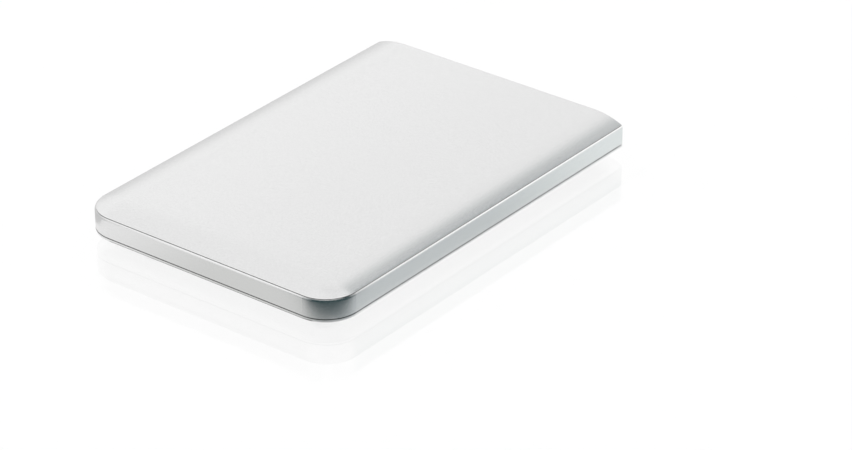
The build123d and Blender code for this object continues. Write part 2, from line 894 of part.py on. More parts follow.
def lower_pad():
    """Foam between the floor and the front half of the drive."""
    y0 = corner_y + foot_edge_distance
    return soft_pad(y0, recess_front() - pad_corner_radius, inner_floor, drive_low)


def drive_outline(inset):
    """Outline of the drive seen from above, moved in all round."""
    width = drive_width - 2 * inset
    length = drive_length - 2 * inset
    return Pos(0, drive_middle) * RectangleRounded(width, length, drive_corner_radius - inset)


def chamber_outline():
    """Sealed chamber of the drive: a round zone for the disc and a square one for the arm."""
    width = chamber_right - chamber_left
    middle_x = (chamber_left + chamber_right) / 2
    middle_y = (chamber_front + chamber_rear) / 2
    arm_zone = RectangleRounded(width, arm_zone_length, chamber_corner_radius)
    disc_zone = Pos(spindle_x, spindle_y) * Circle(disc_radius + disc_room)
    return disc_zone + Pos(middle_x, middle_y) * arm_zone


def recess_front():
    """Front edge of the recess that holds the logic board."""
    return spindle_y + recess_front_distance


def cover_screw_places():
    """Screws of the drive's cover: four corners and one on each side."""
    x = drive_side - cover_screw_distance
    y0 = drive_front + cover_screw_distance
    y1 = drive_rear - cover_screw_distance
    beside_disc = drive_side - right_screw_distance
    return (
        (-x, y0),
        (x, y0),
        (-x, y1),
        (x, y1),
        (-x, chamber_front + left_screw_distance),
        (beside_disc, chamber_front - cover_screw_distance),
    )


def logic_screw_places():
    """Screws of the logic board: two in front and one at the rear, clear of the plug."""
    x = drive_side - recess_side - logic_screw_distance
    y0 = recess_front() + logic_screw_distance
    return ((-x, y0), (x, y0), (x, drive_rear - logic_screw_rear_distance))


def mount_hole_places():
    """Standard mounting holes in the underside of the drive."""
    rows = (drive_rear - mount_hole_rear, drive_front + mount_hole_front)
    return [(side * (drive_side - mount_hole_side), y) for side in left_right for y in rows]


def drive_base():
    """Cast base: chamber from above, motor pocket, logic-board recess and plug notch from below."""
    base = plate(drive_outline(0), drive_low, base_rim)
    base = chamfer(base.edges().group_by(Axis.Z)[0], drive_edge_chamfer)
    base -= plate(chamber_outline(), deck, base_rim)
    base -= rod(spindle_x, spindle_y, pocket_low, deck, hub_radius + pocket_room)
    recess_half = drive_side - recess_side
    recess = block(-recess_half, recess_half, recess_front(), drive_rear, drive_low, recess_top)
    for x, y in logic_screw_places():
        recess -= rod(x, y, logic_top, recess_top, logic_post_radius)
    base -= recess
    half = guide_half + notch_clearance
    notch_top = logic_top + plug_height + mating_clearance
    base -= block(plug_x - half, plug_x + half, notch_front, drive_rear, drive_low, notch_top)
    for x, y in logic_screw_places():
        base -= rod(x, y, logic_top, logic_top + logic_screw_depth + fit, cover_screw_radius + fit)
    for x, y in cover_screw_places():
        base -= rod(x, y, base_rim - cover_screw_depth, base_rim, cover_screw_radius + fit)
    for x, y in mount_hole_places():
        base -= rod(x, y, drive_low, drive_low + mount_hole_depth, mount_hole_radius)
    return base


def drive_cover():
    """Pressed cover: a flange on the base's rim and a raised middle over the chamber."""
    cover = plate(drive_outline(cover_inset), flange_low, flange_top)
    raised = offset(chamber_outline(), -plateau_inset)
    hollow = offset(chamber_outline(), -plateau_inset - cover_sheet)
    cover += plate(raised, flange_low, drive_top)
    cover -= plate(hollow, flange_low, lid_under)
    for x, y in cover_screw_places():
        cover -= rod(x, y, flange_low, flange_top, cover_screw_radius + fit)
    return cover


def cover_seal():
    """Gasket on the base's rim, all round the chamber."""
    inner = offset(chamber_outline(), seal_distance)
    return plate(offset(chamber_outline(), seal_distance + seal_width) - inner, base_rim, flange_low)


def drive_cover_screws():
    """Screws that hold the cover down on the base."""
    tip = base_rim - cover_screw_depth + running
    high = flange_top + cover_screw_head_height
    pieces = Part()
    for x, y in cover_screw_places():
        pieces += screw(x, y, flange_top, high, tip, cover_screw_radius, cover_screw_head_radius)
    return pieces


def logic_board():
    """Board under the rear half of the base, with its parts facing up into the recess."""
    half = drive_side - recess_side - logic_board_clearance
    y0 = recess_front() + logic_board_clearance
    y1 = drive_rear - logic_board_clearance
    board = block(-half, half, y0, y1, logic_low, logic_top)
    for x, y in logic_screw_places():
        board -= rod(x, y, logic_low, logic_top, cover_screw_radius + fit)
    return board


def logic_board_screws():
    """Screws that hold the logic board up against the base."""
    low = logic_low - cover_screw_head_height + running
    tip = logic_top + logic_screw_depth
    pieces = Part()
    for x, y in logic_screw_places():
        pieces += screw(x, y, low, logic_low, tip, cover_screw_radius, cover_screw_head_radius)
    return pieces


def logic_chip(x, y, width, length):
    """Flat package on the logic board."""
    half_x = width / 2
    half_y = length / 2
    chip = block(x - half_x, x + half_x, y - half_y, y + half_y, logic_top, logic_top + chip_height)
    return chamfer(chip.faces().sort_by(Axis.Z)[-1].edges(), chip_chamfer)


def controller_chip():
    """Largest chip, in the middle of the logic board."""
    return logic_chip(controller_x, pivot_y, controller_size, controller_size)


def buffer_memory():
    """Memory beside the controller."""
    x = controller_x - controller_size / 2 - memory_distance - memory_width / 2
    return logic_chip(x, pivot_y, memory_width, memory_length)


def motor_driver():
    """Driver of the spindle and the coil, near the motor."""
    y = pivot_y - controller_size / 2 - part_spacing - motor_driver_size / 2
    return logic_chip(controller_x, y, motor_driver_size, motor_driver_size)


def bearing_sleeve():
    """Fixed bearing of the spindle, glued into the motor pocket."""
    bore = shaft_radius + running
    flange = sleeve_radius + sleeve_flange_width
    top = hub_web_low - pivot_gap
    corners = (
        (bore, pocket_low),
        (flange, pocket_low),
        (flange, core_low),
        (sleeve_radius, core_low),
        (sleeve_radius, top),
        (bore, top),
    )
    return turned(spindle_x, spindle_y, corners)


def tooth_turns():
    """Angles of the stator's teeth."""
    return [index * 360 / tooth_count for index in range(tooth_count)]


def stator_core():
    """Laminated star: a ring round the sleeve and teeth with curved shoes."""
    ring_outer = sleeve_radius + fit + core_ring_width
    shoe_ring = Circle(stator_radius) - Circle(stator_radius - core_shoe_depth)
    outline = Circle(ring_outer)
    for turn in tooth_turns():
        tooth = Pos(stator_radius / 2, 0) * Rectangle(stator_radius, tooth_width)
        shoe = Pos(stator_radius, 0) * Rectangle(stator_radius, tooth_shoe_width)
        outline += Rot(0, 0, turn) * (tooth & Circle(stator_radius - core_shoe_depth / 2))
        outline += Rot(0, 0, turn) * (shoe & shoe_ring)
    outline -= Circle(sleeve_radius + fit)
    return plate(Pos(spindle_x, spindle_y) * outline, core_low, core_high)


def stator_windings():
    """Copper coil on each tooth of the stator."""
    inner = sleeve_radius + fit + core_ring_width + winding_build
    half = tooth_width / 2 + winding_gap
    reach = half + winding_build
    outer = sqrt((stator_radius - core_shoe_depth) ** 2 - reach**2) - winding_gap
    low = core_low - winding_gap
    high = core_high + winding_gap
    coil = block(inner, outer, -reach, reach, low - winding_build, high + winding_build)
    coil -= block(inner, outer, -half, half, low, high)
    pieces = Part()
    for turn in tooth_turns():
        pieces += Pos(spindle_x, spindle_y) * Rot(0, 0, turn) * coil
    return pieces


def spindle_hub():
    """Turning hub with its shaft: a seat for the disc above and a skirt for the magnet below."""
    boss = disc_bore_radius - fit
    skirt_low = pocket_low + pocket_room
    thread = clamp_screw_radius + fit
    thread_low = disc_high - pivot_gap - clamp_screw_depth
    corners = (
        (0, pocket_low + air_gap),
        (shaft_radius, pocket_low + air_gap),
        (shaft_radius, hub_web_low),
        (skirt_inner, hub_web_low),
        (skirt_inner, skirt_low),
        (hub_radius, skirt_low),
        (hub_radius, disc_low),
        (boss, disc_low),
        (boss, disc_high - pivot_gap),
        (thread, disc_high - pivot_gap),
        (thread, thread_low),
        (0, thread_low),
    )
    return turned(spindle_x, spindle_y, corners)


def rotor_magnet():
    """Ring magnet inside the hub's skirt."""
    low = pocket_low + pocket_room
    high = hub_web_low
    return tube(spindle_x, spindle_y, low, high, magnet_outer, magnet_inner)


def platter():
    """Recording disc on the hub's seat."""
    return tube(spindle_x, spindle_y, disc_low, disc_high, disc_radius, disc_bore_radius)


def disc_clamp():
    """Round clamp on the disc, with a ring of holes."""
    high = disc_high + clamp_thickness
    clamp = tube(spindle_x, spindle_y, disc_high, high, clamp_radius, clamp_bore_radius)
    hole_circle = (clamp_radius + clamp_screw_head_radius) / 2
    for index in range(clamp_hole_count):
        angle = radians(index * 360 / clamp_hole_count)
        x = spindle_x + hole_circle * cos(angle)
        y = spindle_y + hole_circle * sin(angle)
        clamp -= rod(x, y, disc_high, high, clamp_hole_radius)
    return clamp


def clamp_screw():
    """Screw that presses the clamp down on the hub."""
    low = disc_high + clamp_thickness
    high = low + clamp_screw_head_height
    tip = disc_high - pivot_gap - clamp_screw_depth + running
    return screw(spindle_x, spindle_y, low, high, tip, clamp_screw_radius, clamp_screw_head_radius)


def pivot_post():
    """Fixed post of the arm's pivot, between the base and the cover."""
    post = rod(pivot_x, pivot_y, deck, lid_under, pivot_post_radius)
    flange_high = lower_arm_low - pivot_gap
    return post + rod(pivot_x, pivot_y, deck, flange_high, pivot_flange_radius)


def pivot_sleeve():
    """Turning sleeve of the pivot, in the bore of the arm block."""
    inner = pivot_post_radius + running
    return tube(pivot_x, pivot_y, lower_arm_low, upper_arm_high, pivot_sleeve_radius, inner)


def arm_block():
    """Forked arm: a hub round the pivot, an arm on each side of the disc and a fork for the coil."""
    hub = Pos(*pivot) * Circle(arm_hub_radius)
    window_start = arm_hub_radius + arm_window_hub_distance
    window_end = arm_length - arm_window_tip_distance
    window_mid = (window_start + window_end) / 2
    window = SlotOverall(window_end - window_start, 2 * arm_window_half)
    arm = along_arm([(0, arm_root_half), (arm_length, arm_tip_half)])
    arm -= Pos(*pivot) * Rot(0, 0, arm_angle) * Pos(window_mid, 0) * window
    part = plate(hub, lower_arm_low, upper_arm_high)
    part += plate(arm + hub, lower_arm_low, lower_arm_high)
    part += plate(arm + hub, upper_arm_low, upper_arm_high)
    reach = coil_radius - coil_wire_width / 2
    for side in left_right:
        near = coil_angle + side * (coil_half_angle + prong_gap_angle)
        far = near + side * prong_angle
        prong = sector(arm_hub_radius - arm_hub_wall / 2, reach, min(near, far), max(near, far))
        part += plate(prong, coil_low, coil_high)
    return part - rod(pivot_x, pivot_y, lower_arm_low, upper_arm_high, pivot_sleeve_radius + fit)


def voice_coil():
    """Flat wound coil between the prongs of the fork."""
    start = coil_angle - coil_half_angle
    end = coil_angle + coil_half_angle
    outer = sector(coil_inner_radius, coil_radius, start, end)
    outer = fillet(outer.vertices(), coil_corner_radius)
    wire_angle = degrees(coil_wire_width / ((coil_inner_radius + coil_radius) / 2))
    half = coil_half_angle - wire_angle
    window_low = coil_inner_radius + coil_wire_width
    window_high = coil_radius - coil_wire_width
    window = sector(window_low, window_high, coil_angle - half, coil_angle + half)
    return plate(outer - window, coil_low, coil_high)


def suspension(low):
    """Sprung blade from the arm's tip to the head, with a lift tab at its end."""
    root = arm_length - blade_overlap
    neck = arm_reach + slider_length / 2
    blade = along_arm(
        [
            (root, arm_tip_half - suspension_sheet),
            (arm_length, arm_tip_half - suspension_sheet),
            (arm_reach - slider_length, suspension_tip_half),
            (neck, suspension_tip_half),
            (neck, tab_half),
            (tab_reach, tab_half),
        ]
    )
    return plate(blade, low, low + suspension_sheet)


def slider(low):
    """Head slider under or over the end of a blade."""
    start = arm_reach - slider_length / 2
    end = arm_reach + slider_length / 2
    return plate(along_arm([(start, slider_width / 2), (end, slider_width / 2)]), low, low + slider_height)


def yoke_outline():
    """Fan-shaped steel plate of the voice-coil motor."""
    return sector(yoke_inner_radius, yoke_radius, yoke_start, yoke_end)


def magnet_outline():
    """Fan-shaped magnet, smaller than its plate all round."""
    start = yoke_start + magnet_end_angle
    end = yoke_end - magnet_end_angle
    outer = yoke_radius - magnet_outer_margin
    return sector(yoke_inner_radius + magnet_inner_margin, outer, start, end)


def yoke_posts():
    """Three steel posts that hold the upper plate over the lower one."""
    radius = yoke_radius - yoke_post_distance
    ends = degrees(2 * yoke_post_radius / radius)
    pieces = Part()
    for angle in (yoke_start + ends, (yoke_start + yoke_end) / 2, yoke_end - ends):
        x = pivot_x + radius * cos(radians(angle))
        y = pivot_y + radius * sin(radians(angle))
        pieces += rod(x, y, lower_yoke_high, upper_yoke_low, yoke_post_radius)
    return pieces


def head_ramp():
    """Ramp beside the disc that the lift tabs rest on, with a post down to the base."""
    low = lower_arm_high + suspension_sheet + ramp_gap
    high = upper_arm_low - suspension_sheet - ramp_gap
    inner = arm_reach + slider_length / 2 + air_gap
    outer = inner + ramp_width
    end = arm_angle + park_angle - swing_angle(tab_reach, disc_radius + head_room)
    start = arm_angle - ramp_end_angle
    ramp = plate(sector(inner, outer, start, end), low, high)
    return ramp + plate(sector(outer - ramp_post_width, outer, start, end), deck, high)


def breather_filter():
    """Filter block in the rear left corner of the chamber."""
    x0 = chamber_left + inner_piece_distance
    y1 = chamber_rear - inner_piece_distance
    return block(x0, x0 + filter_width, y1 - filter_depth, y1, deck, deck + filter_height)


def flex_bracket():
    """Connector block of the arm's flexible circuit, beside the disc."""
    x1 = chamber_right - inner_piece_distance
    y0 = chamber_front + chamber_corner_radius
    bracket = block(x1 - bracket_width, x1, y0, y0 + bracket_depth, deck, deck + bracket_height)
    return fillet(bracket.edges().filter_by(Axis.Z), inner_piece_distance)


walls = casing_walls()

nodes = {
    "top_shell": top_shell(walls),
    "bottom_cover": bottom_cover(walls),
    "cover_screws": cover_screws(),
    "bridge_board": bridge_board(),
    "board_screws": board_screws(),
    "bridge_chip": bridge_chip(),
    "bridge_flash": bridge_flash(),
    "bridge_crystal": bridge_crystal(),
    "status_lamp": status_lamp(),
    "light_pipe": light_pipe(),
    "port_shell": port_shell(),
    "port_tongue": port_tongue(),
    "port_contacts": port_contacts(),
    "drive_socket": drive_socket(),
    "drive_socket_contacts": drive_socket_contacts(),
    "side_cushion_left": side_cushion(-1),
    "side_cushion_right": side_cushion(1),
    "front_cushion": front_cushion(),
    "upper_pad": upper_pad(),
    "lower_pad": lower_pad(),
    "drive_base": drive_base(),
    "drive_cover": drive_cover(),
    "cover_seal": cover_seal(),
    "drive_cover_screws": drive_cover_screws(),
    "logic_board": logic_board(),
    "logic_board_screws": logic_board_screws(),
    "controller_chip": controller_chip(),
    "buffer_memory": buffer_memory(),
    "motor_driver": motor_driver(),
    "drive_plug": drive_plug(),
    "drive_plug_contacts": drive_plug_contacts(),
    "bearing_sleeve": bearing_sleeve(),
    "stator_core": stator_core(),
    "stator_windings": stator_windings(),
    "spindle_hub": spindle_hub(),
    "rotor_magnet": rotor_magnet(),
    "platter": platter(),
    "disc_clamp": disc_clamp(),
    "clamp_screw": clamp_screw(),
    "pivot_post": pivot_post(),
    "pivot_sleeve": pivot_sleeve(),
    "arm_block": arm_block(),
    "voice_coil": voice_coil(),
    "upper_suspension": suspension(upper_arm_low - suspension_sheet),
    "lower_suspension": suspension(lower_arm_high),
    "upper_slider": slider(upper_arm_low - suspension_sheet - slider_height),
    "lower_slider": slider(lower_arm_high + suspension_sheet),
    "lower_yoke": plate(yoke_outline(), deck, lower_yoke_high),
    "lower_magnet": plate(magnet_outline(), lower_yoke_high, coil_low - coil_gap),
    "upper_yoke": plate(yoke_outline(), upper_yoke_low, upper_yoke_high),
    "upper_magnet": plate(magnet_outline(), coil_high + coil_gap, upper_yoke_low),
    "yoke_posts": yoke_posts(),
    "head_ramp": head_ramp(),
    "breather_filter": breather_filter(),
    "flex_bracket": flex_bracket(),
}
for foot_name, (foot_centre_x, foot_centre_y) in foot_places().items():
    nodes[foot_name] = foot(foot_centre_x, foot_centre_y)

os.makedirs("parts", exist_ok=True)
for name, part in nodes.items():
    export_step(part, f"parts/{name}.step")
print(f"casing {case_width:.2f} x {case_length:.2f} x {roof:.2f}, arm swing {arm_swing:.2f} degrees")
print(f"spindle {spindle_x:.3f}, {spindle_y:.3f}; pivot {pivot_x:.3f}, {pivot_y:.3f}; nodes {len(nodes)}")
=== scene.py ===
import json
import math

import bpy
from mathutils import Matrix, Vector

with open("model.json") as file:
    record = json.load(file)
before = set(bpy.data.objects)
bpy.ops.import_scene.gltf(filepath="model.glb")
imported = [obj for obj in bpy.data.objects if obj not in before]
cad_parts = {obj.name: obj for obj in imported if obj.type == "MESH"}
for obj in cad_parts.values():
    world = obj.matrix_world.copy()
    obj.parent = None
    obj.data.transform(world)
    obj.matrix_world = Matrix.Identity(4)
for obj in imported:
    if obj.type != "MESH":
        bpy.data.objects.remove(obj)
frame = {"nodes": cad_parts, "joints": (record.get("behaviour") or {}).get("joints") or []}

print("frame loaded:", len(frame["nodes"]), "pieces")

scene = bpy.context.scene
scene.view_settings.view_transform = "Standard"
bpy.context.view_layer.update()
mm = 0.001

# numbers of the colour sockets on a Mix node
mixShare, mixFirst, mixSecond, mixResult = 0, 6, 7, 2

# pieces that share a finish, gathered by the name of their slot; dress takes them out again
slotPieces = {}
for piece in frame["nodes"].values():
    slotPieces.setdefault(piece.data.materials[0].name.split(".")[0], []).append(piece)


def put(tree, kind, values=None, **settings):
    node = tree.nodes.new(kind)
    for key, value in settings.items():
        setattr(node, key, value)
    for key, value in (values or {}).items():
        node.inputs[key].default_value = value
    return node


def join(tree, source, target):
    tree.links.new(source, target)


def placeField(tree, look):
    # object coordinates, moved to the pattern's own centre and stretched along the marks
    where = put(tree, "ShaderNodeTexCoord")
    centre = look.get("centre", (0, 0, 0))
    shift = put(tree, "ShaderNodeMapping", {"Location": tuple(-c for c in centre)})
    stretch = put(tree, "ShaderNodeMapping", {"Scale": look.get("stretch", (1, 1, 1))})
    join(tree, where.outputs["Object"], shift.inputs["Vector"])
    join(tree, shift.outputs["Vector"], stretch.inputs["Vector"])
    return stretch.outputs["Vector"]


def grainField(tree, look):
    grain = put(tree, "ShaderNodeTexNoise", {"Scale": look["scale"], "Detail": look.get("detail", 2.0)})
    join(tree, placeField(tree, look), grain.inputs["Vector"])
    return grain.outputs["Fac"]


def turnedField(tree, look):
    # rings left by a lathe, round the piece's own axis
    rings = put(tree, "ShaderNodeTexWave", {"Scale": look["scale"], **look["rings"]},
                wave_type="RINGS", rings_direction="Z")
    join(tree, placeField(tree, look), rings.inputs["Vector"])
    return rings.outputs["Fac"]


def layerField(tree, look):
    # stacked sheets or turns of wire, one above the other
    layers = put(tree, "ShaderNodeTexWave", {"Scale": look["scale"], "Distortion": look["wander"]},
                 wave_type="BANDS", bands_direction="Z")
    join(tree, placeField(tree, look), layers.inputs["Vector"])
    return layers.outputs["Fac"]


def cellField(tree, look):
    cells = put(tree, "ShaderNodeTexVoronoi", {"Scale": look["scale"]}, feature="F1")
    join(tree, placeField(tree, look), cells.inputs["Vector"])
    return cells.outputs["Distance"]


def trackField(tree, look):
    # copper tracks under the solder mask, run in short straight lengths
    tracks = put(tree, "ShaderNodeTexBrick", {"Scale": look["scale"], **look["tracks"]}, **look["stagger"])
    join(tree, placeField(tree, look), tracks.inputs["Vector"])
    return tracks.outputs["Fac"]


def paintCreviceShade(tree, colour, paintedSeamShade):
    # painted shade: the colour is darkened where two walls stand close together, as in a seam
    near = put(tree, "ShaderNodeAmbientOcclusion", {"Distance": paintedSeamShade["reach"]}, samples=paintedSeamShade["rays"])
    paintedShade = put(tree, "ShaderNodeMapRange", {"To Min": paintedSeamShade["dark"]})
    shaded = put(tree, "ShaderNodeMix", {mixShare: 1.0}, data_type="RGBA", blend_type="MULTIPLY")
    join(tree, near.outputs["AO"], paintedShade.inputs["Value"])
    join(tree, colour, shaded.inputs[mixFirst])
    join(tree, paintedShade.outputs["Result"], shaded.inputs[mixSecond])
    return shaded.outputs[mixResult]


def newFinish(look, field=grainField):
    mat = bpy.data.materials.new(look["name"])
    mat.use_nodes = True
    tree = mat.node_tree
    shader = tree.nodes["Principled BSDF"]
    shader.inputs["Metallic"].default_value = look.get("metal", 0.0)
    for socket, value in look.get("sockets", {}).items():
        shader.inputs[socket].default_value = value
    marks = field(tree, look)
    tone = put(tree, "ShaderNodeMix", data_type="RGBA")
    tone.inputs[mixFirst].default_value = (*look["low"], 1.0)
    tone.inputs[mixSecond].default_value = (*look["high"], 1.0)
    join(tree, marks, tone.inputs[mixShare])
    colour = tone.outputs[mixResult]
    # painted shade in seams and crevices, where the finish asks for it
    if "paintedSeamShade" in look:
        colour = paintCreviceShade(tree, colour, look["paintedSeamShade"])
    join(tree, colour, shader.inputs["Base Color"])
    rough = put(tree, "ShaderNodeMapRange", {"To Min": look["rough"][0], "To Max": look["rough"][1]})
    join(tree, marks, rough.inputs["Value"])
    join(tree, rough.outputs["Result"], shader.inputs["Roughness"])
    bump = put(tree, "ShaderNodeBump", {"Strength": look["bump"], "Distance": look["depth"]})
    join(tree, marks, bump.inputs["Height"])
    join(tree, bump.outputs["Normal"], shader.inputs["Normal"])
    return mat


def dress(slot, mat):
    for piece in slotPieces.pop(slot):
        piece.data.materials.clear()
        piece.data.materials.append(mat)


# casing: satin silver with a very fine blasted grain, and painted shade darkening its seams
casing = {"name": "satinSilver", "metal": 1.0, "low": (0.744, 0.744, 0.744), "high": (0.882, 0.882, 0.882),
          "scale": 2500.0, "detail": 3.0, "rough": (0.21, 0.27), "bump": 0.12, "depth": 0.01 * mm,
          "paintedSeamShade": {"reach": 0.3 * mm, "dark": 0.5, "rays": 8}}
dress("casing_metal", newFinish(casing))

# feet: matt rubber with a fine moulded texture
feet = {"name": "footRubber", "low": (0.045, 0.045, 0.048), "high": (0.075, 0.075, 0.078),
        "scale": 3200.0, "rough": (0.62, 0.82), "bump": 0.35, "depth": 0.04 * mm}
dress("foot_rubber", newFinish(feet))

# screws: plain steel with a fine grain
screws = {"name": "screwSteel", "metal": 1.0, "low": (0.42, 0.42, 0.43), "high": (0.56, 0.56, 0.57),
          "scale": 4200.0, "rough": (0.28, 0.45), "bump": 0.2, "depth": 0.01 * mm}
dress("screw_steel", newFinish(screws))

# port: plated sheet shell, dark moulded tongue, gilded contacts
portSheet = {"name": "portPlating", "metal": 1.0, "low": (0.58, 0.58, 0.59), "high": (0.68, 0.68, 0.69),
             "stretch": (1, 0.08, 1), "scale": 6000.0, "rough": (0.2, 0.34), "bump": 0.15, "depth": 0.01 * mm}
dress("port_steel", newFinish(portSheet))
socketResin = {"name": "socketResin", "low": (0.018, 0.018, 0.02), "high": (0.03, 0.03, 0.033),
               "scale": 2600.0, "rough": (0.42, 0.58), "bump": 0.25, "depth": 0.02 * mm}
dress("socket_resin", newFinish(socketResin))
gilding = {"name": "contactGilding", "metal": 1.0, "low": (0.78, 0.56, 0.2), "high": (0.88, 0.66, 0.28),
           "stretch": (1, 0.1, 1), "scale": 7000.0, "rough": (0.16, 0.3), "bump": 0.12, "depth": 0.006 * mm}
dress("contact_gold", newFinish(gilding))

# light pipe and the lamp behind it: milky clear resin
lightPipe = {"name": "milkyPipe", "low": (0.78, 0.81, 0.84), "high": (0.86, 0.88, 0.9), "scale": 900.0,
             "rough": (0.22, 0.34), "bump": 0.1, "depth": 0.01 * mm,
             "sockets": {"Transmission Weight": 0.35, "IOR": 1.49}}
dress("light_pipe_clear", newFinish(lightPipe))
lampLens = {"name": "lampLens", "low": (0.82, 0.83, 0.72), "high": (0.9, 0.9, 0.82), "scale": 1600.0,
            "rough": (0.12, 0.22), "bump": 0.08, "depth": 0.01 * mm,
            "sockets": {"Transmission Weight": 0.3, "IOR": 1.5}}
dress("lamp_lens", newFinish(lampLens))
print("casing, feet, screws and port dressed")

# boards: green mask over tracks
boards = {"name": "maskedLaminate", "low": (0.012, 0.075, 0.032), "high": (0.03, 0.15, 0.06),
          "scale": 420.0, "rough": (0.32, 0.4), "bump": 0.3, "depth": 0.03 * mm,
          "tracks": {"Mortar Size": 0.05, "Mortar Smooth": 0.2, "Brick Width": 1.1, "Row Height": 0.35},
          "stagger": {"offset": 0.37, "squash": 1.6, "squash_frequency": 3}}
dress("board_laminate", newFinish(boards, trackField))
chips = {"name": "chipResin", "low": (0.014, 0.014, 0.015), "high": (0.026, 0.026, 0.028),
         "scale": 3000.0, "rough": (0.5, 0.66), "bump": 0.25, "depth": 0.02 * mm}
dress("chip_resin", newFinish(chips))
crystal = {"name": "crystalLid", "metal": 1.0, "low": (0.6, 0.6, 0.6), "high": (0.7, 0.7, 0.7),
           "stretch": (0.06, 1, 1), "scale": 5000.0, "rough": (0.22, 0.36), "bump": 0.15, "depth": 0.01 * mm}
dress("crystal_can", newFinish(crystal))

# soft pieces between the casing and the drive, and inside the drive
cushions = {"name": "cushionRubber", "low": (0.02, 0.02, 0.022), "high": (0.04, 0.04, 0.043),
            "scale": 1800.0, "rough": (0.68, 0.85), "bump": 0.4, "depth": 0.05 * mm}
dress("cushion_rubber", newFinish(cushions))
pads = {"name": "closedFoam", "low": (0.05, 0.05, 0.053), "high": (0.12, 0.12, 0.125),
        "scale": 1500.0, "rough": (0.8, 0.95), "bump": 0.6, "depth": 0.15 * mm}
dress("pad_foam", newFinish(pads, cellField))
gasket = {"name": "blackGasket", "low": (0.008, 0.008, 0.008), "high": (0.018, 0.018, 0.018),
          "scale": 2400.0, "rough": (0.55, 0.72), "bump": 0.3, "depth": 0.03 * mm}
dress("seal_rubber", newFinish(gasket))
felt = {"name": "filterFelt", "low": (0.62, 0.62, 0.59), "high": (0.82, 0.82, 0.79),
        "scale": 4000.0, "detail": 6.0, "rough": (0.85, 0.98), "bump": 0.7, "depth": 0.08 * mm}
dress("filter_felt", newFinish(felt))
print("boards and soft pieces dressed")

# drive box: die-cast base under a brushed sheet cover
casting = {"name": "dieCast", "metal": 1.0, "low": (0.42, 0.43, 0.44), "high": (0.56, 0.57, 0.58),
           "scale": 1400.0, "detail": 5.0, "rough": (0.42, 0.58), "bump": 0.35, "depth": 0.03 * mm}
dress("drive_casting", newFinish(casting))
coverSheet = {"name": "brushedSheet", "metal": 1.0, "low": (0.5, 0.51, 0.52), "high": (0.66, 0.67, 0.68),
              "stretch": (1, 0.03, 1), "scale": 5000.0, "rough": (0.26, 0.42), "bump": 0.2,
              "depth": 0.01 * mm}
dress("cover_sheet", newFinish(coverSheet))

# spindle: hub and disc are turned about its axis, core and windings are stacked along it
spindleAxis = tuple(next(j["pos_m"] for j in frame["joints"] if j["name"] == "spindle_turn"))
hub = {"name": "turnedHub", "metal": 1.0, "low": (0.62, 0.63, 0.64), "high": (0.72, 0.73, 0.74),
       "centre": spindleAxis, "scale": 900.0, "rough": (0.2, 0.34), "bump": 0.15, "depth": 0.01 * mm,
       "rings": {"Distortion": 1.0, "Detail": 1.0, "Detail Scale": 0.3}}
dress("hub_metal", newFinish(hub, turnedField))
disc = {"name": "polishedDisc", "metal": 1.0, "low": (0.86, 0.86, 0.87), "high": (0.9, 0.9, 0.91),
        "centre": spindleAxis, "scale": 1500.0, "rough": (0.03, 0.06), "bump": 0.02, "depth": 0.001 * mm,
        "rings": {"Distortion": 0.2, "Detail": 1.0, "Detail Scale": 0.3}}
dress("disc_mirror", newFinish(disc, turnedField))
bronze = {"name": "turnedBronze", "metal": 1.0, "low": (0.46, 0.31, 0.13), "high": (0.6, 0.43, 0.2),
          "scale": 1600.0, "wander": 0.4, "rough": (0.26, 0.42), "bump": 0.2, "depth": 0.01 * mm}
dress("bearing_bronze", newFinish(bronze, layerField))
core = {"name": "stackedCore", "metal": 1.0, "low": (0.16, 0.16, 0.17), "high": (0.36, 0.36, 0.38),
        "scale": 1500.0, "wander": 0.4, "rough": (0.35, 0.5), "bump": 0.4, "depth": 0.03 * mm}
dress("core_steel", newFinish(core, layerField))
windings = {"name": "enamelledWire", "metal": 0.9, "low": (0.3, 0.1, 0.035), "high": (0.66, 0.29, 0.12),
            "scale": 1300.0, "wander": 0.4, "rough": (0.24, 0.36), "bump": 0.6, "depth": 0.05 * mm}
dress("winding_copper", newFinish(windings, layerField))

# head arm: machined block, thin springs, ceramic sliders
armMetal = {"name": "machinedArm", "metal": 1.0, "low": (0.56, 0.57, 0.59), "high": (0.68, 0.69, 0.71),
            "stretch": (1, 0.12, 1), "scale": 3600.0, "rough": (0.26, 0.4), "bump": 0.2, "depth": 0.012 * mm}
dress("arm_metal", newFinish(armMetal))
springs = {"name": "springSheet", "metal": 1.0, "low": (0.54, 0.55, 0.57), "high": (0.66, 0.67, 0.69),
           "stretch": (1, 0.05, 1), "scale": 7000.0, "rough": (0.18, 0.3), "bump": 0.1, "depth": 0.006 * mm}
dress("suspension_steel", newFinish(springs))
sliders = {"name": "darkCeramic", "low": (0.02, 0.02, 0.022), "high": (0.04, 0.04, 0.043),
           "scale": 9000.0, "rough": (0.22, 0.34), "bump": 0.15, "depth": 0.005 * mm}
dress("slider_ceramic", newFinish(sliders))

# magnets, yoke plates, ramp
magnets = {"name": "magnetNickel", "metal": 1.0, "low": (0.5, 0.49, 0.47), "high": (0.6, 0.59, 0.57),
           "scale": 1200.0, "detail": 4.0, "rough": (0.16, 0.28), "bump": 0.15, "depth": 0.015 * mm}
dress("magnet_nickel", newFinish(magnets))
yokes = {"name": "platedYoke", "metal": 1.0, "low": (0.54, 0.54, 0.54), "high": (0.64, 0.64, 0.64),
         "scale": 2000.0, "detail": 3.0, "rough": (0.2, 0.36), "bump": 0.2, "depth": 0.015 * mm}
dress("yoke_steel", newFinish(yokes))
ramp = {"name": "naturalResin", "low": (0.62, 0.59, 0.48), "high": (0.72, 0.69, 0.57),
        "scale": 1800.0, "rough": (0.36, 0.5), "bump": 0.2, "depth": 0.015 * mm}
dress("ramp_resin", newFinish(ramp))
print("drive dressed; slots left bare:", sorted(slotPieces))


skyward = Vector((0, 0, 1))


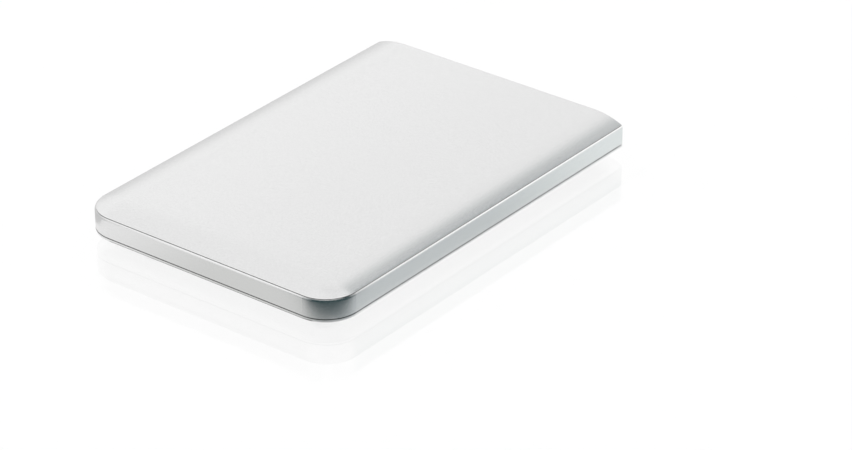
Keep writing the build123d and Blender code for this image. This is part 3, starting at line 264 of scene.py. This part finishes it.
def towards(azimuth, elevation):
    # direction out from the object: azimuth 0 is straight in front of it, 90 to its right
    a, e = math.radians(azimuth), math.radians(elevation)
    return Vector((math.sin(a) * math.cos(e), -math.cos(a) * math.cos(e), math.sin(e)))


def matrixFrom(side, up, face, place):
    return Matrix([(side[i], up[i], face[i], place[i]) for i in range(3)] + [(0, 0, 0, 1)])


def newCard(name, corners, faces, matrix):
    mesh = bpy.data.meshes.new(name)
    mesh.from_pydata(corners, [], faces)
    card = bpy.data.objects.new(name, mesh)
    scene.collection.objects.link(card)
    card.matrix_world = matrix
    return card


def flatCard(name, width, depth, matrix):
    x, y = width / 2, depth / 2
    return newCard(name, [(-x, -y, 0), (x, -y, 0), (x, y, 0), (-x, y, 0)], [(0, 1, 2, 3)], matrix)


def ringCard(flag):
    # a band standing on the floor round a corner, facing inwards
    first, last = flag["reach"]
    corners = []
    for i in range(flag["panels"] + 1):
        a = math.radians(first + (last - first) * i / flag["panels"])
        x, y = flag["ring"] * math.sin(a), -flag["ring"] * math.cos(a)
        corners += [(x, y, 0), (x, y, flag["height"])]
    faces = [(i + 2, i, i + 1, i + 3) for i in range(0, 2 * flag["panels"], 2)]
    return newCard(flag["name"], corners, faces, flag["matrix"])


def bareFinish(card):
    # an empty material: gives its tree, and the socket that takes the finished shader
    mat = bpy.data.materials.new(card.name)
    mat.use_nodes = True
    mat.node_tree.nodes.clear()
    card.data.materials.append(mat)
    return mat.node_tree, put(mat.node_tree, "ShaderNodeOutputMaterial").inputs["Surface"]


def feed(tree, value, socket):
    # a plain value, or what another node gives
    if isinstance(value, bpy.types.NodeSocket):
        join(tree, value, socket)
    else:
        socket.default_value = value


def mixShaders(tree, share, first, second):
    # share is how much of the second shows
    mixed = put(tree, "ShaderNodeMixShader")
    feed(tree, share, mixed.inputs[0])
    join(tree, first.outputs[0], mixed.inputs[1])
    join(tree, second.outputs[0], mixed.inputs[2])
    return mixed


def hideFrom(card, rays):
    for ray in rays:
        setattr(card, "visible_" + ray, False)


# floor: a clear sheet over white, so that it gives two faint mirror images
floor = {"width": 3.0, "faceMirror": 0.095, "backMirror": 0.085, "mirrorRough": 0.03, "white": 1.012,
         "shadowShare": 0.07, "shadowTone": (0.9, 0.9, 0.9), "inMetal": 0.96,
         "topDrop": 0.01 * mm, "faceDrop": 0.02 * mm, "backDrop": 2.1 * mm}


def laySheet(name, drop):
    return flatCard(name, floor["width"], floor["width"], Matrix.Translation((0, 0, -drop)))


def floorMirror(tree):
    return put(tree, "ShaderNodeBsdfGlossy", {"Color": (1, 1, 1, 1), "Roughness": floor["mirrorRough"]})


sheetFace = laySheet("sheetFace", floor["faceDrop"])
tree, surface = bareFinish(sheetFace)
clear = put(tree, "ShaderNodeBsdfTransparent")
glazed = mixShaders(tree, floor["faceMirror"], clear, floorMirror(tree))
join(tree, glazed.outputs[0], surface)
hideFrom(sheetFace, ("diffuse", "glossy", "shadow"))

# one more clear sheet on top, for the camera alone: what the floor mirrors has passed it
sheetTop = laySheet("sheetTop", floor["topDrop"])
tree, surface = bareFinish(sheetTop)
clear = put(tree, "ShaderNodeBsdfTransparent")
join(tree, clear.outputs[0], surface)
hideFrom(sheetTop, ("diffuse", "glossy", "transmission", "shadow"))

# white under the sheet: the camera sees it with the object's shadow, metal sees it evenly white
sheetBack = laySheet("sheetBack", floor["backDrop"])
tree, surface = bareFinish(sheetBack)
path = put(tree, "ShaderNodeLightPath")
seen = put(tree, "ShaderNodeEmission", {"Strength": floor["white"]})
lit = put(tree, "ShaderNodeBsdfDiffuse", {"Color": (*floor["shadowTone"], 1)})
inMetal = put(tree, "ShaderNodeEmission", {"Strength": floor["inMetal"]})
paper = mixShaders(tree, floor["shadowShare"], seen, lit)
forCamera = mixShaders(tree, floor["backMirror"], paper, floorMirror(tree))
forOthers = mixShaders(tree, path.outputs["Is Glossy Ray"], lit, inMetal)
whole = mixShaders(tree, path.outputs["Is Camera Ray"], forOthers, forCamera)
join(tree, whole.outputs[0], surface)
print("floor laid")


def reckon(tree, operation, first, second, clamp=False):
    node = put(tree, "ShaderNodeMath", operation=operation, use_clamp=clamp)
    feed(tree, first, node.inputs[0])
    feed(tree, second, node.inputs[1])
    return node.outputs[0]


def reckonVector(tree, operation, first, second=(0, 0, 0)):
    node = put(tree, "ShaderNodeVectorMath", operation=operation)
    feed(tree, first, node.inputs[0])
    feed(tree, second, node.inputs[1])
    return node.outputs["Value" if operation == "LENGTH" else "Vector"]


def cardFades(tree, flag, where, split):
    # measures over the card's face, each with the value where it begins to show and where it is full
    if "aboutBox" in flag:  # distance from a box, given by its half sizes
        size = reckonVector(tree, "ABSOLUTE", where)
        past = reckonVector(tree, "SUBTRACT", size, (*flag["aboutBox"], 1))
        outside = reckonVector(tree, "MAXIMUM", past)
        return [(reckonVector(tree, "LENGTH", outside), flag["fade"], 0.0)]
    if "ring" in flag:  # angle at both ends, and height
        ahead = reckon(tree, "MULTIPLY", split.outputs["Y"], -1.0)
        angle = reckon(tree, "ARCTAN2", split.outputs["X"], ahead)
        ends = [(angle, *(math.radians(a) for a in flag[end])) for end in ("opens", "closes")]
        return ends + [(split.outputs["Z"], *flag["top"])]
    if flag.get("round"):  # distance from its middle
        spread = put(tree, "ShaderNodeMapping", {"Scale": (2 / flag["width"], 2 / flag["depth"], 0)})
        join(tree, where, spread.inputs["Vector"])
        return [(reckonVector(tree, "LENGTH", spread.outputs["Vector"]), 1.0, 1.0 - flag["fade"])]
    foot = -flag["depth"] / 2
    return [(split.outputs["Y"], foot, foot + flag["fade"])]


def stepTones(tree, flag, split):
    # greys by height above the card's foot
    half = flag["depth"] / 2
    climb = put(tree, "ShaderNodeMapRange", {"From Min": -half, "From Max": half})
    greys = put(tree, "ShaderNodeValToRGB")
    join(tree, split.outputs["Y"], climb.inputs["Value"])
    join(tree, climb.outputs["Result"], greys.inputs[0])
    marks = greys.color_ramp.elements
    while len(marks) < len(flag["steps"]):
        marks.new(0.5)  # moved to its height below
    for mark, (height, level) in zip(marks, flag["steps"]):
        mark.position = height / flag["depth"]
        mark.color = (level, level, level, 1)
    return greys.outputs["Color"]


def softFlag(flag):
    # a card that only metal sees, and only from its front; it fades in from its edges
    if "ring" in flag:
        card = ringCard(flag)
    else:
        card = flatCard(flag["name"], flag["width"], flag["depth"], flag["matrix"])
    hideFrom(card, ("camera", "diffuse", "transmission", "shadow"))
    tree, surface = bareFinish(card)
    where = put(tree, "ShaderNodeTexCoord").outputs["Object"]
    split = put(tree, "ShaderNodeSeparateXYZ")
    join(tree, where, split.inputs[0])
    shown = flag["cover"]
    for measure, begin, full in cardFades(tree, flag, where, split):
        fade = put(tree, "ShaderNodeMapRange", {"From Min": begin, "From Max": full},
                   interpolation_type="SMOOTHSTEP")
        join(tree, measure, fade.inputs["Value"])
        shown = reckon(tree, "MULTIPLY", shown, fade.outputs["Result"])
    side = put(tree, "ShaderNodeNewGeometry")
    path = put(tree, "ShaderNodeLightPath")
    shown = reckon(tree, "SUBTRACT", shown, side.outputs["Backfacing"], clamp=True)
    if flag.get("offFloor"):  # left out of the floor's own mirror, which lies under one clear sheet
        shown = reckon(tree, "SUBTRACT", shown, path.outputs["Transparent Depth"], clamp=True)
    if flag.get("twice"):  # only for metal that is itself seen in the floor's mirror
        again = reckon(tree, "SUBTRACT", path.outputs["Glossy Depth"], 1.0, clamp=True)
        shown = reckon(tree, "MULTIPLY", again, shown)
    clear = put(tree, "ShaderNodeBsdfTransparent")
    shade = put(tree, "ShaderNodeEmission")
    tone = stepTones(tree, flag, split) if "steps" in flag else (*flag["tone"], 1)
    feed(tree, tone, shade.inputs["Color"])
    join(tree, mixShaders(tree, shown, clear, shade).outputs[0], surface)


def layFlag(flag):
    # lies flat: "near" is the middle of its near edge, and it runs out from there along "heading"
    out = towards(flag["heading"], 0)
    place = Vector((*flag["near"], flag["lift"])) + out * flag["depth"] / 2
    flag["matrix"] = matrixFrom(out.cross(skyward), out, skyward, place)
    softFlag(flag)


def hangFlag(flag):
    # hangs facing the object from this direction
    away = towards(flag["azimuth"], flag["elevation"])
    side = away.cross(skyward).normalized()
    flag["matrix"] = matrixFrom(side, side.cross(away), -away, away * flag["distance"])
    softFlag(flag)


# dark front edge of the table and the dark room past it, mirrored by the front-right corner
frontFlag = {"name": "frontFlag", "width": 0.16, "depth": 0.50, "fade": 20 * mm, "cover": 1.0,
             "tone": (0.085, 0.11, 0.115), "near": (32.5 * mm, -51.0 * mm), "heading": 45, "lift": 0.15 * mm}
layFlag(frontFlag)
cornerFlag = {"name": "cornerFlag", "ring": 21 * mm, "reach": (-30, 134), "panels": 40, "height": 21 * mm,
              "opens": (-27, 8), "closes": (132, 85), "top": (21 * mm, 13 * mm), "cover": 1.0,
              "tone": (0.03, 0.06, 0.065), "offFloor": True,
              "matrix": Matrix.Translation((30.5 * mm, -49.0 * mm, 0.3 * mm))}
softFlag(cornerFlag)

# painted shade on the floor: greyer floor along the walls, which only metal sees
sideFlag = {"name": "sideFlag", "width": 0.021, "depth": 0.15, "fade": 66 * mm, "cover": 1.0,
            "tone": (0.6, 0.635, 0.645), "near": (53.5 * mm, 68.0 * mm), "heading": 0, "lift": 0.1 * mm}
layFlag(sideFlag)
sideTint = {"name": "sideTint", "width": 0.021, "depth": 0.14, "fade": 30 * mm, "cover": 1.0,
            "tone": (0.875, 0.925, 0.925), "near": (53.5 * mm, 120.0 * mm), "heading": 0, "lift": 0.08 * mm}
layFlag(sideTint)
nearFlag = {"name": "nearFlag", "width": 0.024, "depth": 0.15, "fade": 45 * mm, "cover": 1.0,
            "tone": (0.735, 0.74, 0.73), "near": (-45.0 * mm, -71.0 * mm), "heading": 90, "lift": 0.05 * mm}
layFlag(nearFlag)
leftFlag = {"name": "leftFlag", "width": 0.074, "depth": 0.26, "fade": 60 * mm, "cover": 1.0,
            "tone": (0.66, 0.66, 0.66), "near": (-82.0 * mm, 150.0 * mm), "heading": 0, "lift": 0.05 * mm}
layFlag(leftFlag)

# dark flag high behind the right side, mirrored by the right shoulder, and a paler one above it
rearFlag = {"name": "rearFlag", "width": 0.88, "depth": 0.60, "fade": 0.85, "cover": 0.63, "round": True,
            "tone": (0.03, 0.085, 0.095), "offFloor": True,
            "azimuth": 166, "elevation": 47, "distance": 0.80}
hangFlag(rearFlag)
overFlag = {"name": "overFlag", "width": 0.56, "depth": 0.40, "fade": 0.9, "cover": 0.3, "round": True,
            "tone": (0.6, 0.6, 0.6), "offFloor": True,
            "azimuth": 208, "elevation": 68, "distance": 0.85}
hangFlag(overFlag)

# the table's own shade under the casing, mirrored by the strip below the seam and by its lower edge
underFlag = {"name": "underFlag", "width": 0.081, "depth": 0.117, "aboutBox": (37 * mm, 55 * mm),
             "fade": 3.5 * mm, "cover": 0.3, "tone": (0.20, 0.205, 0.205),
             "matrix": Matrix.Translation((0, 0, 0.2 * mm))}
softFlag(underFlag)
gapFlag = {"name": "gapFlag", "width": 0.064, "depth": 4 * mm, "fade": 2.0 * mm, "cover": 0.95,
           "tone": (0.12, 0.125, 0.12), "offFloor": True,
           "near": (0, -60.0 * mm), "heading": 180, "lift": 0.25 * mm}
layFlag(gapFlag)

# grey cards for the walls as the floor mirrors them; they hang behind all the others
lowFront = {"name": "lowFront", "width": 1.0, "depth": 1.3, "fade": 0.4, "cover": 1.0, "round": True,
            "tone": (0.74, 0.74, 0.74), "twice": True, "azimuth": -38, "elevation": 44, "distance": 1.2}
hangFlag(lowFront)
lowSide = {"name": "lowSide", "width": 1.0, "depth": 1.3, "fade": 0.4, "cover": 1.0, "round": True,
           "tone": (0.42, 0.51, 0.49), "twice": True, "azimuth": 142, "elevation": 44, "distance": 1.2}
hangFlag(lowSide)

# white side of the tent, to the left: dimmer near the table, brightest a little above it
tentSide = {"name": "tentSide", "width": 0.60, "depth": 0.33, "fade": 1 * mm, "cover": 1.0, "offFloor": True,
            "place": (-0.12, 0.12), "faces": Vector((1, 0, 0)),
            "steps": ((0, 0.74), (14 * mm, 0.80), (28 * mm, 0.89), (44 * mm, 1.01), (85 * mm, 1.04),
                      (130 * mm, 0.965), (330 * mm, 0.965))}
tentMiddle = (*tentSide["place"], tentSide["depth"] / 2)
tentSide["matrix"] = matrixFrom(skyward.cross(tentSide["faces"]), skyward, tentSide["faces"], tentMiddle)
softFlag(tentSide)

# bright panels low behind the right side and low at the front, mirrored by the rounded top edge
edgePanel = {"name": "edgePanel", "width": 0.26, "depth": 0.22, "fade": 0.6, "cover": 1.0, "round": True,
             "tone": (1.35, 1.35, 1.35), "offFloor": True,
             "azimuth": 138, "elevation": 10, "distance": 0.50}
hangFlag(edgePanel)
frontPanel = {"name": "frontPanel", "width": 0.26, "depth": 0.22, "fade": 0.6, "cover": 1.0, "round": True,
              "tone": (1.2, 1.2, 1.2), "offFloor": True,
              "azimuth": -38, "elevation": 8, "distance": 0.50}
hangFlag(frontPanel)
print("flags set")

# light: an even white room and one soft lamp from the upper left
world = bpy.data.worlds.new("whiteRoom")
scene.world = world
world.use_nodes = True
room = world.node_tree.nodes["Background"]
room.inputs["Color"].default_value = (1, 1, 1, 1)
room.inputs["Strength"].default_value = 1.0

softLamp = {"place": (-0.45, -0.25, 0.75), "size": 0.5, "watts": 0.7}
lampData = bpy.data.lights.new("softLamp", "AREA")
lampData.shape = "SQUARE"
lampData.size = softLamp["size"]
lampData.energy = softLamp["watts"]
lamp = bpy.data.objects.new("softLamp", lampData)
scene.collection.objects.link(lamp)
lamp.location = softLamp["place"]
lamp.rotation_euler = (-Vector(softLamp["place"])).to_track_quat("-Z", "Y").to_euler()
lamp.visible_glossy = False
print("room lit")

# camera: a long lens at the photograph's viewing angle
shot = {"place": (0.521477, -0.636811, 0.444167), "azimuth": 38.124, "elevation": 28.79, "roll": -0.25,
        "lens": 159.22, "sensor": 36.0, "clipStart": 0.01}
back = towards(shot["azimuth"], shot["elevation"])
right = skyward.cross(back).normalized()
up = back.cross(right)
roll = math.radians(shot["roll"])
rolledRight = right * math.cos(roll) + up * math.sin(roll)
rolledUp = up * math.cos(roll) - right * math.sin(roll)
cameraData = bpy.data.cameras.new("camera")
cameraData.sensor_width = shot["sensor"]
cameraData.lens = shot["lens"]
cameraData.clip_start = shot["clipStart"]
camera = bpy.data.objects.new("camera", cameraData)
scene.collection.objects.link(camera)
camera.matrix_world = matrixFrom(rolledRight, rolledUp, back, shot["place"])
scene.camera = camera
print("camera placed")
